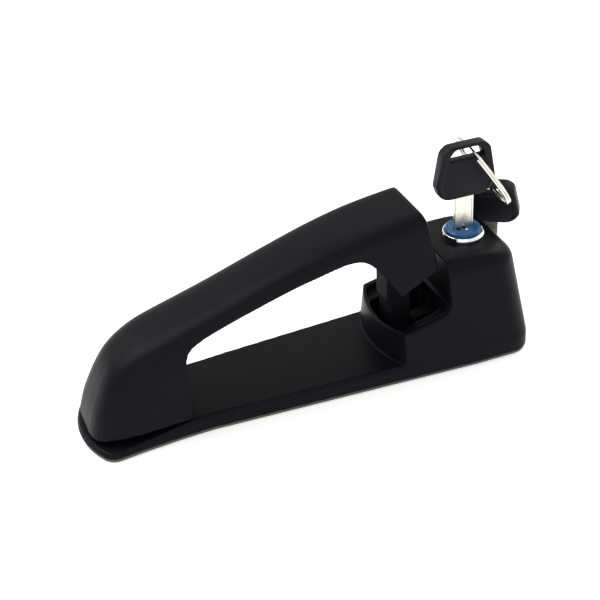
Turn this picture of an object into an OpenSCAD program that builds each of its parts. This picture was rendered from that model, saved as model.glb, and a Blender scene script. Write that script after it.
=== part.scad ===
/* [Base] */
// Overall length of the base along X
base_len = 205; // [203:0.5:211]
// Width of the base at its pivot end
foot_w = 47.6; // [46.6:0.2:50]
// Width of the base at its waist
waist_w = 41.4; // [41:0.2:44]
// Width of the base at its lock end
lock_w = 53.8; // [53:0.2:56]
// Height of the plate at the housing
plate_h = 8.6; // [8.3:0.1:9]
// Thickness of the sealing gasket
gasket_t = 1.2; // [0.8:0.1:1.6]
// Distance between the two threaded inserts
insert_gap = 68; // [60:1:72]

/* [Lock housing] */
// Height of the housing's top face
housing_h = 52; // [51.4:0.1:52.6]
// Wall thickness of the housing
wall = 3; // [2.4:0.1:3.4]
// Radius of the rounded collar at the mounting face
collar_r = 51.8; // [51.4:0.1:52.4]

/* [Grip] */
// Width of the grip at its free end
grip_w = 35.2; // [34.4:0.2:36.4]
// Wall over the hollow of the grip
grip_wall = 3.2; // [2.8:0.1:3.6]
// Diameter of both steel pivot pins
pin_d = 6; // [5.4:0.1:6.4]

/* [Lock and keys] */
// Outer diameter of the chromed bezel
bezel_d = 18.8; // [18.5:0.1:19.6]
// Diameter of the coloured plug face
face_d = 16.2; // [15.6:0.1:16.4]
// Width of the key blade
blade_w = 8.8; // [8:0.1:9]
// Thickness of the key blade
blade_t = 2; // [1.6:0.1:2.1]
// Thickness of the key head
head_t = 5.8; // [5:0.2:6.4]
// Wire diameter of the key ring
wire_d = 1.2; // [1:0.1:1.4]

/* [Hidden] */
$fn = 48;
// Running clearance on a radius
run = 0.05;
// Small gap between pieces that sit together
gap = 0.2;
// Overlap used where a cut must pass a face
over = 1;
// Half length of prisms cut right across
across = 60;

x0 = -base_len / 2;
x1 = base_len / 2;
foot_hw = foot_w / 2;
waist_hw = waist_w / 2;
lock_hw = lock_w / 2;
foot_corner = 7;
end_r = 40;
lock_corner = 10;
corner_gain = 2;
waist_x = x0 + 54.5;
flare_x = x0 + 11.5;
wide_x = x1 - 28.5;
edge_in = 0.15;
step_in = 0.9;
step_h = 1.3;

// Pivot of the grip and of the release lever
pivot = [x0 + 23.5, 13.5];
pin_r = pin_d / 2;
crank = [x1 - 20.1, 16];

// Lock axis and the heights along it
lock_x = x1 - 23.3;
body_r = 8.6;
body_z0 = 31;
body_z1 = housing_h + 1.6;
plug_r = 6.5;
face_z0 = body_z1 + 0.3;
face_h = 2.5;
face_z1 = face_z0 + face_h;
face_r = face_d / 2;
tail_z0 = 27.2;
tail_t = 2.2;
tip_gap = 7.2;
key_in = face_z1 - tail_z0 - tip_gap;
key_out = 15.6;
head_z = face_z1 + key_out;

// Points of an arc, and of a list mirrored over the length axis
function arc(cx, cy, r, a0, a1, n) =
    [for (i = [0 : n]) let (a = a0 + (a1 - a0) * i / n) [cx + r * cos(a), cy + r * sin(a)]];
function flip(p) = [for (i = [len(p) - 1 : -1 : 0]) [p[i][0], -p[i][1]]];
function unit(v) = v / norm(v);

// Places along X keep to the end of the base that they belong to, with the bar of the grip between
drawn_x1 = 102.5;
bar_mid = -15;
bar_half = 35;
function along(x) = x + (x1 - drawn_x1) * max(-1, min(1, (x - bar_mid) / bar_half));
function along_all(pts) = [for (p = pts) [along(p[0]), p[1]]];

// Half width of the base at a place along its length
function half_w(x) = x < waist_x
    ? waist_hw + (foot_hw - waist_hw) * pow((waist_x - x) / (waist_x - flare_x), 1.7)
    : waist_hw + (lock_hw - waist_hw) * min(1, (x - waist_x) / (wide_x - waist_x));

// Outline of the base, drawn in by d all round
corner_y = foot_hw - foot_corner;
corner_x = x0 + end_r - sqrt(pow(end_r - foot_corner, 2) - corner_y * corner_y);
corner_a = asin(corner_y / (end_r - foot_corner));
function base_half(d) = concat(
    arc(x0 + end_r, 0, end_r - d, 180, 180 + corner_a, 6),
    [for (i = [1 : 8]) let (a = 180 + corner_a + (90 - corner_a) * i / 8)
        [corner_x + (foot_corner - d) * cos(a), (foot_corner - d) * sin(a) - corner_y]],
    [for (i = [1 : 8]) let (x = corner_x + (waist_x - corner_x) * i / 8) [x, d - half_w(max(x, flare_x))]],
    [[wide_x, d - lock_hw]],
    arc(x1 - lock_corner, lock_corner - lock_hw, lock_corner - d, 270, 360, 8));
function base_outline(d) = let (h = base_half(d)) concat(h, flip([for (i = [1 : len(h) - 1]) h[i]]));

// Closed skin over equal loops of points
module skin(loops) {
    n = len(loops[0]);
    m = len(loops);
    points = [for (l = loops) each l];
    low = [for (i = [0 : n - 1]) i];
    high = [for (i = [n - 1 : -1 : 0]) (m - 1) * n + i];
    sides = [for (j = [0 : m - 2]) for (i = [0 : n - 1]) let (k = (i + 1) % n)
        each [[j * n + i, (j + 1) * n + i, j * n + k], [j * n + k, (j + 1) * n + i, (j + 1) * n + k]]];
    polyhedron(points = points, faces = concat([low], [high], sides), convexity = 6);
}

// Same skin with flat four-sided faces, for loops whose edges stay parallel
module flat_skin(loops) {
    n = len(loops[0]);
    m = len(loops);
    points = [for (l = loops) each l];
    low = [for (i = [0 : n - 1]) i];
    high = [for (i = [n - 1 : -1 : 0]) (m - 1) * n + i];
    sides = [for (j = [0 : m - 2]) for (i = [0 : n - 1]) let (k = (i + 1) % n)
        [j * n + i, (j + 1) * n + i, (j + 1) * n + k, j * n + k]];
    polyhedron(points = points, faces = concat([low], [high], sides), convexity = 6);
}

// Side profile given in X and Z, thickened along Y between two places
module side(pts, y0, y1) {
    translate([0, y1, 0]) rotate([90, 0, 0]) linear_extrude(y1 - y0) polygon(pts);
}

// Pair of side profiles, one on each half
module sides_pair(pts, y0, y1) {
    side(pts, y0, y1);
    side(pts, -y1, -y0);
}

// Cylinder along Y through a place in X and Z
module across_pin(p, r, y0, y1) {
    translate([p[0], y1, p[1]]) rotate([90, 0, 0]) cylinder(r = r, h = y1 - y0);
}

module tube(r_out, r_in, z0, z1) {
    translate([0, 0, z0]) difference() {
        cylinder(r = r_out, h = z1 - z0);
        translate([0, 0, -over]) cylinder(r = r_in, h = z1 - z0 + 2 * over);
    }
}

// Round wire wound about Y, from one angle round to the other
module coil(p, r, wire, y0, y1, turns, leg_a, leg_b) {
    steps = 14;
    total = turns * steps;
    ring_n = 8;
    loops = [for (i = [0 : total])
        let (a = leg_a + (leg_b - leg_a + 360 * (turns - floor((leg_b - leg_a) / 360 + 1))) * i / total)
        let (y = y0 + (y1 - y0) * i / total)
        [for (k = [0 : ring_n - 1]) let (b = -360 * k / ring_n)
            [p[0] + (r + wire * cos(b)) * cos(a), y + wire * sin(b), p[1] + (r + wire * cos(b)) * sin(a)]]];
    skin(loops);
}

// Height of the plate's top along its length
plate_line = concat([[x0 - over, plate_h - 4.7]], along_all([[-92, plate_h - 4.5], [-75, plate_h - 3.4],
    [-60, plate_h - 1.2], [-54, plate_h - 0.6], [60, plate_h]]));
function plate_side(d) = concat([[x0 - over, gasket_t]], [for (p = plate_line) [p[0], p[1] - d]],
    [[x1 + over, plate_h - d], [x1 + over, gasket_t]]);

// Tapered body of the lock housing, upright at its foot and rounded over at the top
draft = 0.14;
bend_z = plate_h - 0.75;
top_round = 7;
side_round = 3.6;
end_round = 5;
round_n = 7;
front_x = x1 - 71.5;
function housing_loop(z, d, e, from_x) =
    let (s = draft * max(0, z - bend_z) + d, c = lock_corner + corner_gain * z / housing_h)
    let (h = concat([[from_x, s - half_w(from_x)], [wide_x, s - lock_hw]],
        arc(x1 - s - e - c, c + s - lock_hw, c, 270, 360, 10)))
    [for (p = concat(h, flip(h))) [p[0], p[1], z]];
housing_loops = concat([housing_loop(gasket_t, 0, 0, front_x), housing_loop(bend_z, 0, 0, front_x)],
    [for (i = [0 : round_n]) let (a = 90 * i / round_n)
        housing_loop(housing_h - top_round * (1 - sin(a)), side_round * (1 - cos(a)), end_round * (1 - cos(a)),
            front_x)]);
roof = 3.6;
wall_x = x1 - 40.9;
cavity_x = wall_x + wall;
cavity_loops = [housing_loop(gasket_t - over, wall, 0, cavity_x), housing_loop(bend_z, wall, 0, cavity_x),
    housing_loop(housing_h - roof, wall, 0, cavity_x)];
collar_x = x1 - 18.3;
collar_lean = 0.1;

// Notch above the pocket, seen from the side
notch = concat(along_all([[20, 19], [36, 22.7], [44, 24.4], [57.6, 27.3], [60.6, 29]]), [[wall_x + 0.9, 32.4],
    [wall_x - 0.2, housing_h + 20], [along(20), housing_h + 20]]);
pocket_floor = 5;
pocket_hw = 13.5;
rim_hw = 20;
rim_h = 3;
slot_hw = 5.4;
web_in = 8.5;
web_out = 11.5;
web_h = 24;
web_end = crank[0] + 6.6;
lug_in = 3.6;
lug_out = 8;
seat_hw = 15.4;
seat_z = 3;
seat_len = 29.6;

// Leaning cone that forms the collar, drawn in by d and cut off below z
module collar_cone(d, z) {
    translate([collar_x, 0, z]) cylinder(r1 = collar_r - d - collar_lean * z,
        r2 = collar_r - d - collar_lean * (housing_h + over), h = housing_h + over - z, $fn = 120);
}

module base_outer() {
    intersection() {
        translate([0, 0, gasket_t]) linear_extrude(plate_h * 2) polygon(base_outline(edge_in));
        side(plate_side(step_h), -across, across);
    }
    intersection() {
        translate([0, 0, gasket_t]) linear_extrude(plate_h * 2) polygon(base_outline(step_in));
        side(plate_side(0), -across, across);
    }
    difference() {
        intersection() {
            flat_skin(housing_loops);
            collar_cone(0, 0);
        }
        side(notch, -across, across);
    }
}

module pocket_cut() {
    intersection() {
        collar_cone(wall, pocket_floor);
        translate([front_x, -pocket_hw, 0]) cube([wall_x - front_x, 2 * pocket_hw, housing_h]);
    }
    intersection() {
        collar_cone(wall * 0.5, 0);
        side([for (p = notch) [p[0], p[1] - rim_h]], -rim_hw, rim_hw);
        translate([front_x, -rim_hw, 0]) cube([wall_x - front_x, 2 * rim_hw, housing_h]);
    }
}

lug_profile = concat([[pivot[0] - 8, gasket_t + over]], arc(pivot[0], pivot[1], 6.4, 180, 0, 12),
    [[pivot[0] + 8, gasket_t + over]]);

module base_housing() color([0.035, 0.036, 0.04]) {
    difference() {
        union() {
            difference() {
                base_outer();
                pocket_cut();
                flat_skin(cavity_loops);
                translate([pivot[0] - 10, -seat_hw, seat_z]) cube([seat_len, 2 * seat_hw, plate_h]);
            }
            sides_pair([[cavity_x - over, gasket_t], [web_end, gasket_t], [web_end, web_h],
                [cavity_x - over, web_h]], web_in, web_out);
            sides_pair(lug_profile, lug_in, lug_out);
        }
        across_pin(pivot, pin_r + 0.02, -across, across);
        across_pin(crank, pin_r + 0.02, -web_out - over, web_out + over);
        translate([wall_x - 2 * over, -slot_hw, 8]) cube([wall + 4 * over, 2 * slot_hw, 22]);
        translate([lock_x, 0, housing_h - roof - over]) cylinder(r = body_r + 0.1, h = roof + 3 * over);
        for (s = [-1, 1]) translate([s * insert_gap / 2, 0, 0]) cylinder(r = insert_r + 0.02, h = insert_z);
    }
}

insert_r = 4.4;
insert_z = 7;
thread_r = 2.5;

module base_gasket() color([0.09, 0.085, 0.08]) {
    difference() {
        linear_extrude(gasket_t - 0.02) polygon(base_outline(0.6));
        translate([0, 0, -over]) linear_extrude(gasket_t + 2 * over)
            polygon([for (p = housing_loop(0, wall + 1.5, 0, cavity_x)) [p[0], p[1]]]);
        for (s = [-1, 1]) translate([s * insert_gap / 2, 0, -over]) cylinder(r = insert_r + 0.3, h = 4);
    }
}

module mount_inserts() color([0.72, 0.6, 0.34]) {
    for (s = [-1, 1]) translate([s * insert_gap / 2, 0, 0]) difference() {
        cylinder(r = insert_r, h = insert_z - gap);
        translate([0, 0, -over]) cylinder(r = thread_r, h = insert_z + 2 * over);
        for (z = [2.6, 4.4]) translate([0, 0, z]) tube(insert_r + over, insert_r - 0.5, 0, 0.7);
    }
}

// Sections of the grip from the foot to the free end.
// Each row holds inner X and Z, outer X and Z, half width and squareness.
end_hw = grip_w / 2;
drawn_sections = [
    [-57.2, 8.6, -99.7, 6.4, 20.2, 4.6],
    [-57, 15, -97.2, 15, 20, 4.2],
    [-56.9, 22, -94, 22.6, 19.5, 3.8],
    [-56.9, 29, -90.4, 29.6, 18.9, 3.5],
    [-56.8, 34.4, -86.2, 35.4, 18.3, 3.3],
    [-56, 37.8, -80.6, 40, 17.7, 3.2],
    [-54.3, 40.5, -73.6, 43.8, 17.2, 3.1],
    [-50.8, 42.8, -63.5, 47.2, 16.8, 3],
    [-45.4, 45, -51.5, 50.9, 16.5, 2.9],
    [-34.7, 48.7, -38, 55, 16.3, 2.9],
    [-24, 52, -26.5, 59, 16.3, 2.9],
    [-13.2, 55.3, -15.4, 62.5, 16.4, 3.1],
    [-2.4, 58.2, -4, 65.9, 16.6, 3.4],
    [8.5, 60.8, 7.5, 69, 16.8, 3.9],
    [17, 62.4, 17, 71, 17, 4.6],
    [23.2, 62, 25, 72.6, 17.2, 5.4],
    [27.8, 59, 32.4, 73.9, end_hw - 0.2, 6.3],
    [32.3, 53.5, 39.6, 75, end_hw - 0.1, 7.2],
    [36.6, 46.9, 46, 75.8, end_hw, 8],
    [41.3, 39.8, 50.8, 76.5, end_hw, 8.4],
    [57.8, 48.8, 52.6, 76.3, end_hw, 8.4],
    [58.6, 52, 54.2, 73.8, end_hw - 1.4, 6.4],
];
sections = [for (q = drawn_sections) [along(q[0]), q[1], along(q[2]), q[3], q[4], q[5]]];
function in_pt(i) = [sections[i][0], sections[i][1]];
function out_pt(i) = [sections[i][2], sections[i][3]];
function rise(i) = out_pt(i) - in_pt(i);
function signed_pow(v, e) = sign(v) * pow(abs(v), e);
// Rows between the sections follow a smooth curve, up to the corner of the free end
smooth_to = 19;
sub = 3;
function between(a, b, c, d, t) = 0.5 * (2 * b + (c - a) * t + (2 * a - 5 * b + 4 * c - d) * t * t
    + (3 * b - a - 3 * c + d) * t * t * t);
fine_rows = concat(
    [for (i = [0 : smooth_to - 1]) for (k = [0 : sub - 1])
        between(sections[max(i - 1, 0)], sections[i], sections[i + 1], sections[min(i + 2, smooth_to)], k / sub)],
    [for (i = [smooth_to : len(sections) - 1]) sections[i]]);
loop_n = 24;
function section_loop(q) =
    [for (k = [0 : loop_n]) let (a = 180 * k / loop_n)
        let (y = q[4] * signed_pow(cos(a), 2 / q[5]), v = k == 0 || k == loop_n ? 0 : pow(sin(a), 2 / q[5]))
        [q[0] + (q[2] - q[0]) * v, y, q[1] + (q[3] - q[1]) * v]];

bar_from = 7;
bar_to = 15;
bar_hw = 10.6;
// The hollow of the bar starts a little inside the foot
function bar_shift(i) = i == bar_from ? [-1.2, -0.8] : [0, 0];
cavity_top = [for (i = [bar_from : bar_to]) out_pt(i) - unit(rise(i)) * grip_wall + bar_shift(i)];
cavity_low = [for (i = [bar_to : -1 : bar_from]) in_pt(i) - unit(rise(i)) * over + bar_shift(i)];
foot_low = along_all([[-87, 4], [-87, 16], [-84.6, 21], [-83, 24], [-60.4, 24], [-60.4, 4]]);
foot_mid = along_all([[-83, 23], [-80.6, 30.8], [-60.4, 30.8], [-60.4, 23]]);
mid_hollow = 12.3;
foot_high = along_all([[-81, 23], [-80, 31], [-76.5, 35.6], [-70, 39.6], [-63.4, 43.2], [-60, 45.4],
    [-50.1, 42.5], [-54, 40.9], [-57.6, 38.2], [-60.4, 34], [-60.4, 23]]);
foot_hollow = 14.4;
nose_hw = 13;
nose_hollow = along_all([[32, 30], [55.2, 42], [55.2, 50], [51.6, 66], [24, 66], [20, 58]]);
screw_at = [10, 13];
spine_t = 3;
boss_r = 3.4;
bore_r = 1.25;
boss_cap = 2;

// Place along the bar's own normal at one section
module at_section(i) {
    u = unit(rise(i));
    translate([in_pt(i)[0], 0, in_pt(i)[1]]) rotate([0, atan2(u[0], u[1]), 0]) children();
}

module grip_shell() color([0.035, 0.036, 0.04]) {
    difference() {
        union() {
            difference() {
                skin([for (q = fine_rows) section_loop(q)]);
                side(concat(cavity_top, cavity_low), -bar_hw, bar_hw);
                side(foot_low, -foot_hollow, foot_hollow);
                side(foot_mid, -mid_hollow, mid_hollow);
                side(foot_high, -bar_hw, bar_hw);
                side(nose_hollow, -nose_hw, nose_hw);
            }
            for (i = screw_at) at_section(i) translate([0, 0, spine_t + gap])
                cylinder(r = boss_r, h = norm(rise(i)) - boss_cap - spine_t - gap);
        }
        for (i = screw_at) at_section(i) translate([0, 0, spine_t])
            cylinder(r = bore_r, h = norm(rise(i)) - boss_cap - spine_t);
    }
}

// Steel core inside the grip: cheeks on the pivot, spine under the bar and neck in the pocket
spine_low = [for (i = [bar_from : 14]) in_pt(i) + unit(rise(i)) * 0.3];
spine_high = [for (i = [14 : -1 : bar_from]) in_pt(i) + unit(rise(i)) * spine_t];
spine_bend_low = along_all([[-79.4, 25], [-64.4, 27], [-61.2, 33.4], [-58.6, 38.8], [-54.6, 41.9]]);
spine_bend_high = along_all([[-57.6, 45], [-63.4, 41.8], [-67.4, 31.6], [-79.2, 30]]);
cheek = concat(along_all([[-79.6, 29.4], [-84.2, 19.6]]), arc(pivot[0], pivot[1], 6.2, 180, 320, 12),
    along_all([[-64.4, 17], [-62.6, 29]]));
bridge = along_all([[-79.8, 25.2], [-64.6, 27.2], [-63, 29], [-63, 29.8], [-79.4, 29.8]]);
cheek_in = 8.4;
cheek_out = 12;
neck_hw = 6;
neck = along_all([[16.4, 63], [21.6, 63.8], [29, 61.8], [35.4, 56.4], [39.4, 48], [39.4, 31],
    [40.6, 28.4], [40.6, 8.4], [57.4, 8.4], [57.4, 12], [50.4, 12.6], [50.4, 44], [51.4, 52],
    [49.4, 64.8], [16.8, 66.6]]);
bush_r = pin_r + 1.5;

module grip_core() color([0.05, 0.05, 0.055]) {
    difference() {
        union() {
            side(concat(spine_bend_low, spine_low, spine_high, spine_bend_high), -bar_hw + gap, bar_hw - gap);
            side(neck, -neck_hw, neck_hw);
            sides_pair(cheek, cheek_in, cheek_out);
            side(bridge, -cheek_out, cheek_out);
        }
        across_pin(pivot, bush_r + 0.02, -across, across);
        for (i = screw_at) at_section(i) {
            translate([0, 0, -over]) cylinder(r = 1.9, h = spine_t + 3 * over);
            translate([0, 0, -over]) cylinder(r = 3.4, h = over + 2.2);
        }
    }
}

module grip_screws() color([0.6, 0.6, 0.62]) {
    for (i = screw_at) at_section(i) {
        difference() {
            translate([0, 0, 0.4]) cylinder(r = 3.2, h = 1.7);
            translate([0, 0, 0.2]) cylinder(r = 1.4, h = 1.2, $fn = 6);
        }
        translate([0, 0, 2]) cylinder(r = 1.2, h = norm(rise(i)) - 4.4);
    }
}

clip_t = 0.8;
groove_y = 12.7;
pin_end = 14;
lever_groove_y = 12;
lever_pin_end = 13.6;

module grooved_pin(p, end, groove) {
    difference() {
        across_pin(p, pin_r, -end, end);
        for (s = [-1, 1]) difference() {
            across_pin(p, pin_r + over, s * groove - clip_t * 0.6, s * groove + clip_t * 0.6);
            across_pin(p, pin_r - 0.7, -across, across);
        }
    }
}

module open_clips(p, groove) {
    for (s = [-1, 1]) difference() {
        across_pin(p, pin_r + 2, s * groove - clip_t / 2, s * groove + clip_t / 2);
        across_pin(p, pin_r - 0.65, -across, across);
        translate([p[0] - 1.6, -across, p[1] - pin_r - 4]) cube([3.2, 2 * across, pin_r + 4]);
    }
}

module grip_pivot_pin() color([0.7, 0.7, 0.72]) grooved_pin(pivot, pin_end, groove_y);

module pivot_clips() color([0.45, 0.46, 0.48]) open_clips(pivot, groove_y);

module pivot_bushes() color([0.82, 0.78, 0.62]) {
    for (s = [-1, 1]) difference() {
        across_pin(pivot, bush_r, s * (cheek_in + cheek_out) / 2 - 1.9, s * (cheek_in + cheek_out) / 2 + 1.9);
        across_pin(pivot, pin_r + run, -across, across);
    }
}

module grip_return_spring() color([0.6, 0.6, 0.62]) {
    coil(pivot, pin_r + 1.7, 0.55, -3, 3, 4.25, 20, 110);
}

// Release lever that the neck lifts inside the housing
lever_hw = 3;
hub_r = 5;
lever_arm = along_all([[82.4, 11.6], [64.4, 12], [53.8, 12.4], [53.4, 15.4], [55.4, 16.8], [68.4, 18.4],
    [82.4, 20.8]]);
lever_tail = along_all([[82.4, 11.2], [90.4, 6], [94.6, 8.6], [94.4, 12.2], [84.4, 20.2]]);
eye = [crank[0] + 9, 9.6];

module release_lever() color([0.62, 0.63, 0.65]) {
    difference() {
        union() {
            across_pin(crank, hub_r, -lever_hw, lever_hw);
            side(lever_arm, -lever_hw, lever_hw);
            side(lever_tail, -lever_hw, lever_hw);
        }
        across_pin(crank, pin_r + run, -across, across);
        across_pin(eye, 1.8, -across, across);
    }
}

module release_lever_pin() color([0.7, 0.7, 0.72]) grooved_pin(crank, lever_pin_end, lever_groove_y);

module lever_clips() color([0.45, 0.46, 0.48]) open_clips(crank, lever_groove_y);

module lever_return_spring() color([0.6, 0.6, 0.62]) {
    coil(crank, pin_r + 1.2, 0.5, lever_hw + 0.9, web_in - 0.9, 3.25, 10, 100);
}

module grip_bumper() color([0.06, 0.06, 0.06]) {
    translate([wall_x - 15.6, 0, pocket_floor]) cylinder(r1 = 4.6, r2 = 4, h = 3.2);
}

// Key lock on the vertical axis
bezel_r = bezel_d / 2;
neck_r = face_r + 0.1;

module lock_body() color([0.66, 0.66, 0.68]) translate([lock_x, 0, 0]) {
    difference() {
        union() {
            translate([0, 0, body_z0]) cylinder(r = body_r, h = housing_h - body_z0);
            translate([0, 0, body_z0]) cylinder(r = neck_r, h = body_z1 - body_z0);
        }
        translate([0, 0, body_z0 - over]) cylinder(r = plug_r + run, h = body_z1 - body_z0 + 2 * over);
    }
}

module lock_bezel() color([0.85, 0.86, 0.88]) translate([lock_x, 0, 0]) {
    rotate_extrude($fn = 96) polygon([[neck_r + 0.05, housing_h + 0.05], [bezel_r, housing_h + 0.05],
        [bezel_r, housing_h + 1.7], [bezel_r - 0.5, housing_h + 2.5], [bezel_r - 0.7, housing_h + 2.8],
        [neck_r + 0.25, housing_h + 2.8], [neck_r + 0.05, housing_h + 2.5]]);
}

nut_r = 12;
nut_h = 4;

module lock_nut() color([0.62, 0.62, 0.64]) translate([lock_x, 0, housing_h - roof - nut_h - gap]) {
    difference() {
        rotate([0, 0, 30]) cylinder(r = nut_r, h = nut_h, $fn = 6);
        translate([0, 0, -over]) cylinder(r = body_r + 0.02, h = nut_h + 2 * over);
    }
}

wafer_z = [37, 40.4, 43.8, 47.2];
wafer_t = 1;
slot_w = blade_w + 0.5;
slot_t = blade_t + 0.4;
stub = 5;

module lock_plug() color([0.72, 0.6, 0.34]) translate([lock_x, 0, 0]) {
    difference() {
        union() {
            translate([0, 0, tail_z0 + tail_t + 0.4]) cylinder(r = plug_r, h = face_z0 - tail_z0 - tail_t - 0.4);
            translate([-stub / 2, -stub / 2, tail_z0]) cube([stub, stub, tail_t + over]);
        }
        translate([-slot_w / 2, -slot_t / 2, face_z1 - key_in - over]) cube([slot_w, slot_t, key_in + 2 * over]);
        for (z = wafer_z) translate([-5.8, -2.3, z - wafer_t / 2 - 0.1]) cube([11.6, 4.6, wafer_t + 0.2]);
        translate([0, 0, tail_z0 - over]) cylinder(r = 1.62, h = 6);
    }
}

module plug_wafers() color([0.74, 0.62, 0.36]) translate([lock_x, 0, 0]) {
    for (z = wafer_z) difference() {
        translate([-5.4, -2.1, z - wafer_t / 2]) cube([10.8, 4.2, wafer_t]);
        translate([-slot_w / 2, -slot_t / 2, z - over]) cube([slot_w, slot_t, 2 * over]);
    }
}

module plug_face() color([0.02, 0.2, 0.55]) translate([lock_x, 0, 0]) {
    difference() {
        rotate_extrude($fn = 96) polygon([[0, face_z0], [face_r - 0.2, face_z0], [face_r, face_z0 + 0.4],
            [face_r, face_z1 - 0.7], [face_r - 0.3, face_z1 - 0.25], [face_r - 0.9, face_z1], [0, face_z1]]);
        translate([-slot_w / 2, -slot_t / 2, face_z0 - over]) cube([slot_w, slot_t, face_h + 2 * over]);
    }
}

arm_len = 12.4;

module lock_tailpiece() color([0.62, 0.63, 0.65]) translate([lock_x, 0, tail_z0]) {
    difference() {
        union() {
            cylinder(r = 5.4, h = tail_t);
            translate([0, -3.4, 0]) cube([arm_len - 3.4, 6.8, tail_t]);
            translate([arm_len - 3.4, 0, 0]) cylinder(r = 3.4, h = tail_t);
        }
        translate([-stub / 2 - 0.05, -stub / 2 - 0.05, -over]) cube([stub + 0.1, stub + 0.1, tail_t + 2 * over]);
        translate([arm_len - 3.4, 0, -over]) cylinder(r = 1.6, h = tail_t + 2 * over);
    }
}

module tailpiece_screw() color([0.6, 0.6, 0.62]) translate([lock_x, 0, 0]) {
    difference() {
        translate([0, 0, tail_z0 - 2.2]) cylinder(r = 4, h = 2.15);
        translate([-across, -0.5, tail_z0 - 3.2]) cube([2 * across, 1, 1.8]);
    }
    translate([0, 0, tail_z0 - 0.6]) cylinder(r = 1.6, h = 5);
}

// Key head drawn with its lower edge at zero and the blade pointing down
head_h = 25;
head_low = 14.4;
head_high = 11.2;
head_round = 7.4;
head_top = 5;
function head_right(d) = concat(
    arc(head_low - head_round, head_round, head_round - d, -90, 2, 7),
    arc(head_high - head_top, head_h - head_top, head_top - d, 8, 84, 7));
function head_outline(d) = concat(head_right(d), [[0, head_h + 0.8 - d]],
    [for (i = [len(head_right(d)) - 1 : -1 : 0]) [-head_right(d)[i][0], head_right(d)[i][1]]]);
eye_low = 18.8;
eye_hw = 7.8;
eye_side = 2.8;
eye_top = 23.9;
key_eye = concat([[-eye_hw, eye_low], [eye_hw, eye_low]],
    [for (i = [0 : 8]) let (x = eye_hw - 0.6 - (2 * eye_hw - 1.2) * i / 8)
        [x, eye_top - (eye_top - eye_low - eye_side) * pow(x / (eye_hw - 0.6), 2)]]);
panel = [[-10, 3.2], [10, 3.2], [8.6, 17], [-8.6, 17]];
panel_d = 0.5;
blade_in_head = 9;
bevel = 1;

module head_shape() {
    difference() {
        union() {
            translate([0, head_t / 2 - bevel, 0]) rotate([90, 0, 0]) linear_extrude(head_t - 2 * bevel)
                polygon(head_outline(0));
            translate([0, head_t / 2, 0]) rotate([90, 0, 0]) linear_extrude(head_t) polygon(head_outline(bevel));
        }
        side(key_eye, -across, across);
        for (y = [-head_t / 2 - over + panel_d, head_t / 2 - panel_d]) side(panel, y, y + over);
        translate([-blade_w / 2 - 0.05, -blade_t / 2 - 0.05, -over])
            cube([blade_w + 0.1, blade_t + 0.1, blade_in_head + over + 0.05]);
    }
}

blade_len = key_in + key_out;
cuts = [6, 9.6, 13.2, 16.6];

module blade_shape() {
    tip = -blade_len + 0.6;
    half = blade_w / 2;
    difference() {
        side([[half, blade_in_head], [half, tip + 2], [half - 2.4, tip], [2.4 - half, tip], [-half, tip + 2],
            [-half, blade_in_head]], -blade_t / 2, blade_t / 2);
        for (i = [0 : 3], s = [-1, 1]) translate([s * (half + 0.4), -over - blade_t, tip + cuts[i]])
            rotate([0, 45, 0]) translate([-0.8, 0, -0.8]) cube([1.6, 4 * blade_t, 1.6]);
    }
}

// Place of the spare key, hung behind the corner of the housing
spare_at = [x1 - 0.1, 18.2, 44.6];
spare_w = unit([0.853, -0.523, 0]);
spare_hang = [0.1, 0.34, -0.94];
spare_down = unit(spare_hang - spare_w * (spare_w * spare_hang));
spare_n = cross(-spare_down, spare_w);
wire_r = wire_d / 2;

module in_frame(ex, ey, ez, o) {
    multmatrix([[ex[0], ey[0], ez[0], o[0]], [ex[1], ey[1], ez[1], o[1]], [ex[2], ey[2], ez[2], o[2]]])
        children();
}

module at_spare() in_frame(spare_w, spare_n, -spare_down, spare_at) children();

module key_head() color([0.04, 0.04, 0.045]) translate([lock_x, 0, head_z]) head_shape();

module key_blade() color([0.78, 0.76, 0.72]) translate([lock_x, 0, head_z]) blade_shape();

module spare_key_head() color([0.04, 0.04, 0.045]) at_spare() head_shape();

module spare_key_blade() color([0.78, 0.76, 0.72]) at_spare() blade_shape();

// Ring through both key heads
ring_a = [lock_x + 2.5, 0, head_z + eye_low + 2.7];
ring_b = spare_at + spare_w * 2 - spare_down * (eye_low + 2);
ring_x = unit(ring_b - ring_a);
ring_lean = [0.1, 0.93, -0.1];
ring_y = unit(ring_lean - ring_x * (ring_x * ring_lean));
ring_r = norm(ring_b - ring_a) / 2;

module key_ring() color([0.8, 0.79, 0.76]) in_frame(ring_x, ring_y, cross(ring_x, ring_y), (ring_a + ring_b) / 2)
    rotate_extrude($fn = 72) for (s = [-1, 1]) translate([ring_r, s * wire_r * 0.94]) circle(r = wire_r, $fn = 16);

base_housing();
base_gasket();
mount_inserts();
grip_shell();
grip_core();
grip_screws();
grip_pivot_pin();
pivot_bushes();
pivot_clips();
grip_return_spring();
release_lever();
release_lever_pin();
lever_clips();
lever_return_spring();
grip_bumper();
lock_body();
lock_bezel();
lock_nut();
lock_plug();
plug_wafers();
plug_face();
lock_tailpiece();
tailpiece_screw();
key_head();
key_blade();
spare_key_head();
spare_key_blade();
key_ring();
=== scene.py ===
import math

import bmesh
import bpy
from mathutils import Matrix, Vector


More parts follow.
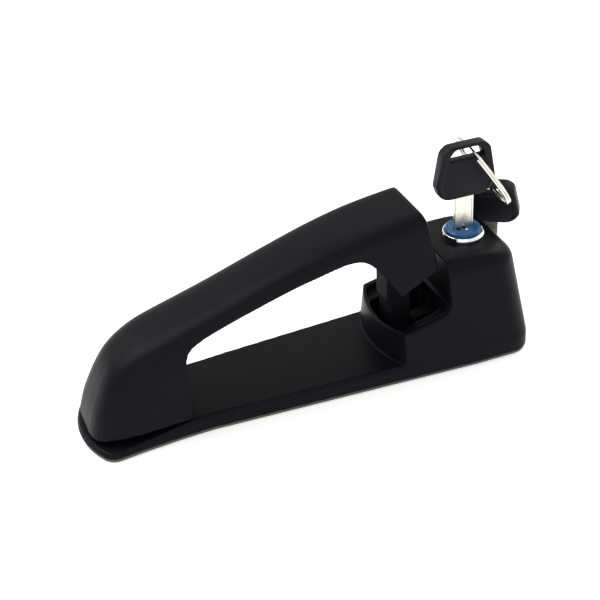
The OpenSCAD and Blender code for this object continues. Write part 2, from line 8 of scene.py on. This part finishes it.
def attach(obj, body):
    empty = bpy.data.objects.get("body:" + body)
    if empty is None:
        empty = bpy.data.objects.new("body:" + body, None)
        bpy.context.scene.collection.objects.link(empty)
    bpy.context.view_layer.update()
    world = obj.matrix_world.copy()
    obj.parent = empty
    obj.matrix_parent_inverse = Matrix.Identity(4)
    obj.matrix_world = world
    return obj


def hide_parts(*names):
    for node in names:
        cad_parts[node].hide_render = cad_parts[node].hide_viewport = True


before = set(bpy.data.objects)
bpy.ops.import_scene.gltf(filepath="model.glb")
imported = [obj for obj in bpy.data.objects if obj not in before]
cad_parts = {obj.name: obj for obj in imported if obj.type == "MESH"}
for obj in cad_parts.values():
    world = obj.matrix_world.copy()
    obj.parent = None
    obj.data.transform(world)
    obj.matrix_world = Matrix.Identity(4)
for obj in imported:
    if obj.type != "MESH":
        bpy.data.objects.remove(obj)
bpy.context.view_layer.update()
scene = bpy.context.scene
mm = 0.001  # every size below is in millimetres, as in the drawing

# camera of the photograph, in metres
cameraSet = {
    "lens": 76.36,
    "sensor": 36,
    "near": 0.01,
    "place": (-0.15456, -0.43195, 0.34292),
    "right": (0.92827, -0.36857, -0.04979),
    "up": (0.24215, 0.49733, 0.83308),
    "back": (-0.28229, -0.78537, 0.55090),
}


def addCamera(s):
    data = bpy.data.cameras.new("photoCamera")
    data.lens = s["lens"]
    data.sensor_fit = "AUTO"
    data.sensor_width = s["sensor"]
    data.clip_start = s["near"]
    cam = bpy.data.objects.new("photoCamera", data)
    turn = Matrix((s["right"], s["up"], s["back"])).transposed()
    cam.matrix_world = Matrix.Translation(s["place"]) @ turn.to_4x4()
    scene.collection.objects.link(cam)
    scene.camera = cam


addCamera(cameraSet)
print("camera set")


class Sock:  # one output socket, so that shader maths reads as plain sums
    def __init__(self, finish, out):
        self.finish = finish
        self.out = out

    def calc(self, operation, a, b):
        return self.finish.add("ShaderNodeMath", {"operation": operation}, {0: a, 1: b})

    def __add__(self, other):
        return self.calc("ADD", self, other)

    __radd__ = __add__

    def __sub__(self, other):
        return self.calc("SUBTRACT", self, other)

    def __rsub__(self, other):
        return self.calc("SUBTRACT", other, self)

    def __mul__(self, other):
        return self.calc("MULTIPLY", self, other)

    __rmul__ = __mul__


class Finish:  # one material and its nodes
    def __init__(self, name):
        self.mat = bpy.data.materials.new(name)
        self.mat.use_nodes = True
        self.nodes = self.mat.node_tree.nodes
        self.shader = self.nodes["Principled BSDF"]

    def add(self, kind, settings, sockets, output=0):
        node = self.nodes.new(kind)
        for key, value in settings.items():
            setattr(node, key, value)
        for key, value in sockets.items():
            self.plug(node.inputs[key], value)
        return Sock(self, node.outputs[output])

    def plug(self, entry, value):
        if isinstance(value, Sock):
            self.mat.node_tree.links.new(value.out, entry)
        else:
            entry.default_value = value

    def put(self, **sockets):
        for key, value in sockets.items():
            self.plug(self.shader.inputs[key.replace("_", " ")], value)
        return self.mat

    def place(self):
        return self.add("ShaderNodeTexCoord", {}, {}, "Object")

    def noise(self, scale, detail=3.0, rough=0.5):
        return self.add("ShaderNodeTexNoise", {}, {
            "Vector": self.place(), "Scale": scale, "Detail": detail, "Roughness": rough}, "Fac")

    def spread(self, value, low, high, toLow=0.0, toHigh=1.0):
        return self.add("ShaderNodeMapRange", {"clamp": True}, {
            0: value, 1: low, 2: high, 3: toLow, 4: toHigh})

    def between(self, share, a, b):
        return self.add("ShaderNodeMix", {"data_type": "RGBA"}, {0: share, 6: a, 7: b}, 2)

    def edges(self, low, high):
        return self.spread(self.add("ShaderNodeNewGeometry", {}, {}, "Pointiness"), low, high)

    def bump(self, height, strength, depth):
        return self.add("ShaderNodeBump", {}, {"Height": height, "Strength": strength, "Distance": depth})


studioSet = {
    "floorSize": 4.0,
    "floorDrop": 0.3,
    "floorDark": (0.93, 0.93, 0.93, 1),
    "floorPale": (0.95, 0.95, 0.95, 1),
    "floorCloud": 6.0,
    "floorRough": 0.9,
    "floorGloss": 0.1,
    "floorGlow": 0.3,
    "skyStrength": 0.95,
    "lamps": {
        "keyLamp": ((-0.55, 0.35, 0.85), 0.7, 7.0),
        "fillLamp": ((-0.35, -0.85, 0.55), 0.9, 2.4),
        "rimLamp": ((0.75, 0.35, 0.6), 0.5, 2.2),
    },
    "aim": (0.0, 0.0, 0.035),
}


def addStudio(s):
    h = s["floorSize"] / 2
    z = -s["floorDrop"] * mm
    mesh = bpy.data.meshes.new("studioFloor")
    mesh.from_pydata([(-h, -h, z), (h, -h, z), (h, h, z), (-h, h, z)], [], [(0, 1, 2, 3)])
    floor = bpy.data.objects.new("studioFloor", mesh)
    scene.collection.objects.link(floor)
    paint = Finish("floorPaint")
    tone = paint.between(paint.noise(s["floorCloud"]), s["floorDark"], s["floorPale"])
    mesh.materials.append(paint.put(
        Base_Color=tone, Roughness=s["floorRough"], Specular_IOR_Level=s["floorGloss"],
        Emission_Color=tone, Emission_Strength=s["floorGlow"]))
    world = bpy.data.worlds.new("studioSky")
    scene.world = world
    world.use_nodes = True
    sky = world.node_tree.nodes["Background"]
    sky.inputs["Color"].default_value = (1, 1, 1, 1)
    sky.inputs["Strength"].default_value = s["skyStrength"]
    for name, (place, size, watts) in s["lamps"].items():
        lamp = bpy.data.lights.new(name, "AREA")
        lamp.size = size
        lamp.energy = watts
        obj = bpy.data.objects.new(name, lamp)
        obj.location = place
        obj.rotation_euler = (Vector(s["aim"]) - Vector(place)).to_track_quat("-Z", "Y").to_euler()
        scene.collection.objects.link(obj)
    scene.view_settings.view_transform = "Standard"


addStudio(studioSet)
print("studio lit")


plasticSet = {"wornFrom": 0.52, "wornTo": 0.6, "grainSpread": 0.16, "cloudSpread": 0.08, "wornSheen": 0.06}
metalFine = 0.02  # depth of a metal's fine unevenness


def mouldedPlastic(name, s):
    p = plasticSet
    f = Finish(name)
    cloud = f.noise(s["cloudScale"], 2.0)
    grain = f.noise(s["grainScale"], 3.0, 0.6)
    worn = f.edges(p["wornFrom"], p["wornTo"])
    tone = f.between(cloud, s["dark"], s["pale"])
    tone = f.between(worn * s["wearShare"], tone, s["wear"])
    rough = s["rough"] + (grain - 0.5) * p["grainSpread"] + (cloud - 0.5) * p["cloudSpread"]
    rough = rough - worn * p["wornSheen"]
    return f.put(Base_Color=tone, Roughness=rough, Specular_IOR_Level=s["gloss"],
                 Normal=f.bump(grain, s["grainStrength"], s["grainDepth"] * mm))


def plainMetal(name, s):
    f = Finish(name)
    cloud = f.noise(s["cloudScale"], 3.0)
    fine = f.noise(s["fineScale"], 2.0)
    tone = f.between(cloud, s["dark"], s["pale"])
    rough = s["rough"] + (cloud - 0.5) * s["roughSpread"]
    return f.put(Base_Color=tone, Roughness=rough, Metallic=1.0,
                 Normal=f.bump(fine, s["fineStrength"], metalFine * mm))


finishSet = {
    "housingPlastic": dict(dark=(0.0018, 0.0017, 0.0025, 1), pale=(0.0036, 0.0035, 0.0046, 1),
                           wear=(0.02, 0.02, 0.023, 1), wearShare=0.12, cloudScale=26.0, grainScale=2400.0,
                           rough=0.4, gloss=0.07, grainStrength=0.22, grainDepth=0.05),
    "keyPlastic": dict(dark=(0.0034, 0.0033, 0.0044, 1), pale=(0.0064, 0.0062, 0.0078, 1),
                       wear=(0.03, 0.03, 0.033, 1), wearShare=0.5, cloudScale=90.0, grainScale=3000.0,
                       rough=0.4, gloss=0.12, grainStrength=0.18, grainDepth=0.04),
    "corePaint": dict(dark=(0.003, 0.003, 0.0037, 1), pale=(0.006, 0.006, 0.007, 1),
                      wear=(0.02, 0.02, 0.022, 1), wearShare=0.2, cloudScale=60.0, grainScale=1500.0,
                      rough=0.6, gloss=0.04, grainStrength=0.2, grainDepth=0.05),
    "gasketRubber": dict(dark=(0.05, 0.043, 0.036, 1), pale=(0.085, 0.073, 0.06, 1),
                         wear=(0.12, 0.1, 0.08, 1), wearShare=0.4, cloudScale=120.0, grainScale=1800.0,
                         rough=0.75, gloss=0.25, grainStrength=0.3, grainDepth=0.08),
    "bushPolymer": dict(dark=(0.5, 0.47, 0.36, 1), pale=(0.62, 0.58, 0.46, 1),
                        wear=(0.7, 0.66, 0.55, 1), wearShare=0.3, cloudScale=120.0, grainScale=2000.0,
                        rough=0.45, gloss=0.4, grainStrength=0.1, grainDepth=0.03),
}
metalSet = {
    "bezelChrome": dict(dark=(0.78, 0.79, 0.82, 1), pale=(0.9, 0.91, 0.93, 1),
                        cloudScale=140.0, fineScale=900.0,
                        rough=0.09, roughSpread=0.06, fineStrength=0.03),
    "bladeNickel": dict(dark=(0.62, 0.585, 0.52, 1), pale=(0.74, 0.7, 0.64, 1),
                        cloudScale=160.0, fineScale=1600.0,
                        rough=0.26, roughSpread=0.14, fineStrength=0.1),
    "ringNickel": dict(dark=(0.64, 0.61, 0.56, 1), pale=(0.8, 0.78, 0.74, 1),
                       cloudScale=220.0, fineScale=1200.0,
                       rough=0.16, roughSpread=0.12, fineStrength=0.06),
    "springSteel": dict(dark=(0.34, 0.34, 0.35, 1), pale=(0.5, 0.5, 0.51, 1),
                        cloudScale=150.0, fineScale=1500.0,
                        rough=0.3, roughSpread=0.16, fineStrength=0.1),
    "oxideSteel": dict(dark=(0.006, 0.006, 0.007, 1), pale=(0.014, 0.014, 0.016, 1),
                       cloudScale=150.0, fineScale=1500.0,
                       rough=0.5, roughSpread=0.14, fineStrength=0.1),
    "plugBrass": dict(dark=(0.5, 0.36, 0.13, 1), pale=(0.66, 0.49, 0.2, 1),
                      cloudScale=130.0, fineScale=1400.0,
                      rough=0.3, roughSpread=0.14, fineStrength=0.1),
    "castZinc": dict(dark=(0.42, 0.42, 0.43, 1), pale=(0.54, 0.54, 0.55, 1),
                     cloudScale=170.0, fineScale=800.0,
                     rough=0.42, roughSpread=0.14, fineStrength=0.25),
}
finishes = {name: mouldedPlastic(name, s) for name, s in finishSet.items()}
finishes.update({name: plainMetal(name, s) for name, s in metalSet.items()})

faceSet = {
    "deep": (0.0006, 0.034, 0.105, 1),
    "light": (0.002, 0.08, 0.21, 1),
    "cloudScale": 220.0,
    "rough": 0.18,
    "roughSpread": 0.08,
    "metal": 0.1,
    "coat": 0.25,
    "coatRough": 0.06,
    "gloss": 0.25,
}


def faceLacquer(s):
    f = Finish("faceBlue")
    cloud = f.noise(s["cloudScale"], 2.0)
    tone = f.between(cloud, s["deep"], s["light"])
    return f.put(Base_Color=tone, Roughness=s["rough"] + cloud * s["roughSpread"], Metallic=s["metal"],
                 Coat_Weight=s["coat"], Coat_Roughness=s["coatRough"], Specular_IOR_Level=s["gloss"])


finishes["faceBlue"] = faceLacquer(faceSet)


dotSet = {"dull": (0.72, 0.74, 0.76, 1), "white": (0.86, 0.88, 0.9, 1), "cloudScale": 600.0, "rough": 0.35}


def dotPaint(s):
    f = Finish("indexWhite")
    tone = f.between(f.noise(s["cloudScale"]), s["dull"], s["white"])
    return f.put(Base_Color=tone, Roughness=s["rough"])


finishes["indexWhite"] = dotPaint(dotSet)
print("finishes mixed")


def loose(name, data):
    obj = bpy.data.objects.new(name, data)
    scene.collection.objects.link(obj)
    return obj


def addPiece(name, mesh, finish, body, *nodes, slot):
    obj = loose(name, mesh)
    mesh.materials.clear()
    mesh.materials.append(finishes[finish])
    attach(obj, body)
    if nodes:
        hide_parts(*nodes)
    return obj


def baked(obj):  # the object's mesh with its modifiers applied, and the object removed
    graph = bpy.context.evaluated_depsgraph_get()
    mesh = bpy.data.meshes.new_from_object(obj.evaluated_get(graph))
    bpy.data.objects.remove(obj)
    return mesh


def cleaned(mesh, gap):  # doubled points merged, normals turned outwards
    bm = bmesh.new()
    bm.from_mesh(mesh)
    bmesh.ops.remove_doubles(bm, verts=bm.verts, dist=gap)
    bmesh.ops.recalc_face_normals(bm, faces=bm.faces)
    bm.to_mesh(mesh)
    bm.free()
    return mesh


def smoothShade(mesh, angle=35):
    mesh.shade_smooth()
    bm = bmesh.new()
    bm.from_mesh(mesh)
    for edge in bm.edges:
        if len(edge.link_faces) == 2:
            edge.smooth = edge.calc_face_angle() < math.radians(angle)
    bm.to_mesh(mesh)
    bm.free()
    return mesh


def softened(node, s):  # a moulded copy of a solid, with its sharp edges rounded over
    obj = loose(node + "Soft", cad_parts[node].data.copy())
    weld = obj.modifiers.new("weld", "WELD")
    weld.merge_threshold = 0.00001
    remesh = obj.modifiers.new("remesh", "REMESH")
    remesh.mode = "VOXEL"
    remesh.voxel_size = s["voxel"] * mm
    relax = obj.modifiers.new("relax", "SMOOTH")
    relax.factor = 0.5
    relax.iterations = s["passes"]
    thin = obj.modifiers.new("thin", "DECIMATE")
    thin.ratio = s["keep"]
    mesh = baked(obj)
    mesh.shade_smooth()
    return mesh


def turned(name, profile, steps=128):  # a lathe piece about its own Z axis
    points = []
    faces = []
    n = len(profile)
    for i in range(steps):
        a = 2 * math.pi * i / steps
        points += [(r * mm * math.cos(a), r * mm * math.sin(a), z * mm) for r, z in profile]
    for i in range(steps):
        j = (i + 1) % steps
        faces += [(i * n + k, j * n + k, j * n + (k + 1) % n, i * n + (k + 1) % n) for k in range(n)]
    mesh = bpy.data.meshes.new(name)
    mesh.from_pydata(points, [], faces)
    return cleaned(mesh, 1e-7)


def rounded(corners, steps=6):  # corners are r, z and the rounding radius
    line = []
    count = len(corners)
    for i, (x, y, r) in enumerate(corners):
        here = Vector((x, y))
        a = (Vector(corners[i - 1][:2]) - here).normalized()
        b = (Vector(corners[(i + 1) % count][:2]) - here).normalized()
        if r == 0:
            line.append((x, y))
            continue
        half = math.acos(max(-1, min(1, a.dot(b)))) / 2
        reach = r / math.tan(half)
        start, end = here + a * reach, here + b * reach
        middle = here + (a + b).normalized() * (r / math.sin(half))
        u, v = start - middle, end - middle
        sweep = math.acos(max(-1, min(1, u.normalized().dot(v.normalized()))))
        for k in range(steps + 1):
            t = k / steps
            p = middle + (u * math.sin((1 - t) * sweep) + v * math.sin(t * sweep)) / math.sin(sweep)
            line.append((p.x, p.y))
    return line


def slab(name, loops, thick, bevel, steps=4):  # outlines in X and Z, thickened along Y, with round edges
    curve = bpy.data.curves.new(name, "CURVE")
    curve.dimensions = "2D"
    curve.fill_mode = "BOTH"
    for loop in loops:
        spline = curve.splines.new("POLY")
        spline.points.add(len(loop) - 1)
        spline.use_cyclic_u = True
        for point, (x, z) in zip(spline.points, loop):
            point.co = (x * mm, z * mm, 0, 1)
    curve.extrude = (thick / 2 - bevel) * mm
    curve.bevel_depth = bevel * mm
    curve.bevel_resolution = steps
    curve.offset = -bevel * mm
    mesh = baked(loose(name, curve))
    mesh.transform(Matrix.Rotation(math.pi / 2, 4, "X"))
    return cleaned(mesh, 1e-6)


def brick(x0, x1, y0, y1, z0, z1):
    mesh = bpy.data.meshes.new("brick")
    bm = bmesh.new()
    bmesh.ops.create_cube(bm, size=1)
    middle = Vector(((x0 + x1) / 2, (y0 + y1) / 2, (z0 + z1) / 2)) * mm
    size = Vector((x1 - x0, y1 - y0, z1 - z0)) * mm
    bm.transform(Matrix.Translation(middle) @ Matrix.Diagonal(size).to_4x4())
    bm.to_mesh(mesh)
    bm.free()
    return mesh


def carved(mesh, cutters, operation="DIFFERENCE"):
    obj = loose("carving", mesh)
    tools = [loose("tool", c) for c in cutters]
    for tool in tools:
        cut = obj.modifiers.new("cut", "BOOLEAN")
        cut.operation = operation
        cut.solver = "EXACT"
        cut.object = tool
    result = baked(obj)
    for tool in tools:
        bpy.data.objects.remove(tool)
    return result


def joined(name, meshes):
    bm = bmesh.new()
    for m in meshes:
        bm.from_mesh(m)
    mesh = bpy.data.meshes.new(name)
    bm.to_mesh(mesh)
    bm.free()
    return mesh


# mouldings and painted core, softened from their solids
mouldSet = {
    "base_housing": dict(name="baseMoulding", voxel=0.45, passes=7, keep=0.35,
                         finish="housingPlastic", body="base", slot="moulded_black"),
    "grip_shell": dict(name="gripMoulding", voxel=0.45, passes=8, keep=0.35,
                       finish="housingPlastic", body="grip", slot="moulded_black"),
    "grip_core": dict(name="corePainted", voxel=0.4, passes=4, keep=0.35,
                      finish="corePaint", body="grip", slot="core_black"),
}
for node, s in mouldSet.items():
    addPiece(s["name"], softened(node, s), s["finish"], s["body"], node, slot=s["slot"])
    print("moulding", s["name"])

lockSet = {
    "axis": (79.2, 0.0),
    "bezel": [(8.22, 52.06, 0.1), (9.4, 52.06, 0.15), (9.4, 53.6, 0.45), (8.98, 54.8, 0.35),
              (8.5, 54.8, 0.15), (8.22, 54.3, 0.15)],
    "face": [(0.0, 53.92, 0), (7.9, 53.92, 0.15), (8.1, 54.3, 0.15), (8.1, 55.9, 0.3), (7.55, 56.4, 0.35),
             (7.0, 56.4, 0.1), (6.8, 56.24, 0.1), (0.0, 56.24, 0)],
    "slot": (9.3, 2.4),
    "cutFrom": 50,
    "cutTo": 60,
    "notches": ((-3.6, -2.1, -2.5), (-0.7, 0.6, -2.2)),
    "notchFloor": 54.9,
    "dot": (0.3, -3.1, 0.55),
    "dotFoot": 56.2,
    "dotEdge": 56.55,
    "dotTop": 56.6,
    "dotRound": 0.2,
}
lockAt = Matrix.Translation(Vector((lockSet["axis"][0], lockSet["axis"][1], 0)) * mm)


def addLock(s):
    bezel = smoothShade(turned("lockBezel", rounded(s["bezel"])), 50)
    bezel.transform(lockAt)
    addPiece("bezelRing", bezel, "bezelChrome", "base", "lock_bezel", slot="chrome")
    w, t = s["slot"]
    cuts = [brick(-w / 2, w / 2, -t / 2, t / 2, s["cutFrom"], s["cutTo"])]
    cuts += [brick(x0, x1, y, 0, s["notchFloor"], s["cutTo"]) for x0, x1, y in s["notches"]]
    face = smoothShade(carved(turned("face", rounded(s["face"])), cuts), 40)
    face.transform(lockAt)
    addPiece("plugFaceDisc", face, "faceBlue", "plug", "plug_face", slot="face_blue")
    x, y, r = s["dot"]
    pill = [(0, s["dotFoot"], 0), (r, s["dotFoot"], 0), (r, s["dotEdge"], s["dotRound"]), (0, s["dotTop"], 0)]
    dot = turned("dot", rounded(pill, 4), 32)
    dot.transform(lockAt @ Matrix.Translation(Vector((x, y, 0)) * mm))
    addPiece("indexDot", smoothShade(dot, 40), "indexWhite", "plug", slot="face_blue")


addLock(lockSet)
print("lock front built")

keySet = {
    "headZ": 72.0,
    "rim": [(11.2, 2.3, 0.5), (14.3, 6.6, 4.0), (11.1, 25.0, 4.8), (-11.1, 25.0, 4.8), (-14.3, 6.6, 4.0),
            (-11.2, 2.3, 0.5), (-9.9, 3.2, 0.6), (-11.5, 6.0, 1.6), (-8.5, 18.4, 0.5), (-7.7, 21.2, 1.4),
            (-5.4, 23.8, 3.0), (5.4, 23.8, 3.0), (7.7, 21.2, 1.4), (8.5, 18.4, 0.5), (11.5, 6.0, 1.6),
            (9.9, 3.2, 0.6)],
    "crown": 0.75,
    "crownHalf": 11.1,
    "crownFrom": 24.5,
    "plate": [(-16.2, 0.03, 6.9), (16.2, 0.03, 6.9), (10.6, 18.8, 0.6), (-10.6, 18.8, 0.6)],
    "thick": 5.7,
    "edge": 0.95,
    "plateThick": 4.7,
    "plateEdge": 1.0,
    "bladeHalf": 4.4,
    "bladeThick": 2.0,
    "bladeTip": -37.0,
    "bladeIn": 9.0,
    "bladeEdge": 0.14,
    "tipRise": 2,
    "tipCut": 2.4,
    "cuts": (6.0, 9.6, 13.2, 16.6),
    "cutDepth": 0.73,
    "groove": (-3.7, -3.1, 0.3),
    "grooveTop": -1.5,
    "spill": 1,
}


def keyHeadMesh(s):
    rim = []
    for x, z in rounded(s["rim"], 8):
        arch = s["crown"] * (1 - (x / s["crownHalf"]) ** 2) if z > s["crownFrom"] else 0
        rim.append((x, z + arch))
    frameMesh = slab("keyFrame", [rim], s["thick"], s["edge"])
    plate = slab("keyPlate", [rounded(s["plate"], 10)], s["plateThick"], s["plateEdge"])
    return smoothShade(joined("keyHead", [frameMesh, plate]), 32)


def keyBladeMesh(s):
    half, tip, deep = s["bladeHalf"], s["bladeTip"], s["cutDepth"]
    right = [(half, s["bladeIn"])]
    for c in reversed(s["cuts"]):
        right += [(half, tip + c + deep), (half - deep, tip + c), (half, tip + c - deep)]
    right += [(half, tip + s["tipRise"]), (half - s["tipCut"], tip)]
    loop = right + [(-x, z) for x, z in reversed(right)]
    blade = slab("keyBlade", [loop], s["bladeThick"], s["bladeEdge"], 2)
    x0, x1, deep = s["groove"]
    t = s["bladeThick"] / 2
    low, high, spill = tip - s["spill"], s["grooveTop"], s["spill"]
    cuts = [brick(x0, x1, t - deep, t + spill, low, high), brick(-x1, -x0, -t - spill, deep - t, low, high)]
    return smoothShade(carved(blade, cuts), 30)


spareSet = {"at": (102.4, 18.2, 44.6), "across": (0.853, -0.523, 0.0), "hang": (0.1, 0.34, -0.94)}


def spareMatrix(s):
    wide = Vector(s["across"]).normalized()
    hang = Vector(s["hang"])
    down = (hang - wide * wide.dot(hang)).normalized()
    front = (-down).cross(wide)
    turn = Matrix((wide, front, -down)).transposed()
    return Matrix.Translation(Vector(s["at"]) * mm) @ turn.to_4x4()


def addKeys(s):
    spareAt = spareMatrix(spareSet)
    keyAt = lockAt @ Matrix.Translation((0, 0, s["headZ"] * mm))
    for tag, place, body in (("key", keyAt, "key"), ("spare_key", spareAt, "spare")):
        head = keyHeadMesh(s)
        head.transform(place)
        addPiece(tag + "HeadMoulding", head, "keyPlastic", body, tag + "_head", slot="key_black")
        blade = keyBladeMesh(s)
        blade.transform(place)
        addPiece(tag + "BladeMilled", blade, "bladeNickel", body, tag + "_blade", slot="key_nickel")


addKeys(keySet)
print("keys built")

ringSet = {
    "inKey": (2.5, 0.0, 21.5),
    "inSpare": (2.0, 0.0, 20.8),
    "lean": (0.1, 0.93, -0.1),
    "wire": 0.6,
    "pitch": 0.56,
    "steps": 220,
    "sweep": 716,  # two turns with a short open end
    "crossAt": 200.0,
    "crossLag": 90,
    "crossSpan": 46.0,
}


def addRing(s):
    a = Vector((lockSet["axis"][0], 0, keySet["headZ"])) + Vector(s["inKey"])
    b = spareMatrix(spareSet) @ (Vector(s["inSpare"]) * mm) / mm
    ex = (b - a).normalized()
    lean = Vector(s["lean"])
    ey = (lean - ex * ex.dot(lean)).normalized()
    ez = ex.cross(ey)
    radius = (b - a).length / 2
    curve = bpy.data.curves.new("ringWire", "CURVE")
    curve.dimensions = "3D"
    curve.bevel_depth = s["wire"] * mm
    curve.bevel_resolution = 5
    curve.use_fill_caps = True
    spline = curve.splines.new("POLY")
    spline.points.add(s["steps"])
    for i, point in enumerate(spline.points):
        turn = s["sweep"] * i / s["steps"]
        share = min(1, max(0, (turn - s["crossAt"] - s["crossLag"]) / s["crossSpan"]))
        share = share * share * (3 - 2 * share)
        angle = math.radians(turn + s["crossAt"])
        around = radius * (ex * math.cos(angle) + ey * math.sin(angle))
        p = (a + b) / 2 + around + ez * s["pitch"] * (2 * share - 1)
        point.co = (*(p * mm), 1)
    mesh = baked(loose("ringWire", curve))
    addPiece("splitRing", smoothShade(mesh, 50), "ringNickel", "ring", "key_ring", slot="key_nickel")


addRing(ringSet)
print("ring wound")

# pieces that stay as drawn, in spring steel where none is named
keptFinish = {
    "base_gasket": "gasketRubber",
    "grip_bumper": "gasketRubber",
    "mount_inserts": "plugBrass",
    "lock_plug": "plugBrass",
    "plug_wafers": "plugBrass",
    "lock_body": "castZinc",
    "pivot_bushes": "bushPolymer",
    "release_lever": "oxideSteel",
    "lock_tailpiece": "oxideSteel",
}
for name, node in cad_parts.items():
    if not node.hide_render:
        node.data.materials.clear()
        node.data.materials.append(finishes[keptFinish.get(name, "springSteel")])
print("drawn pieces finished")
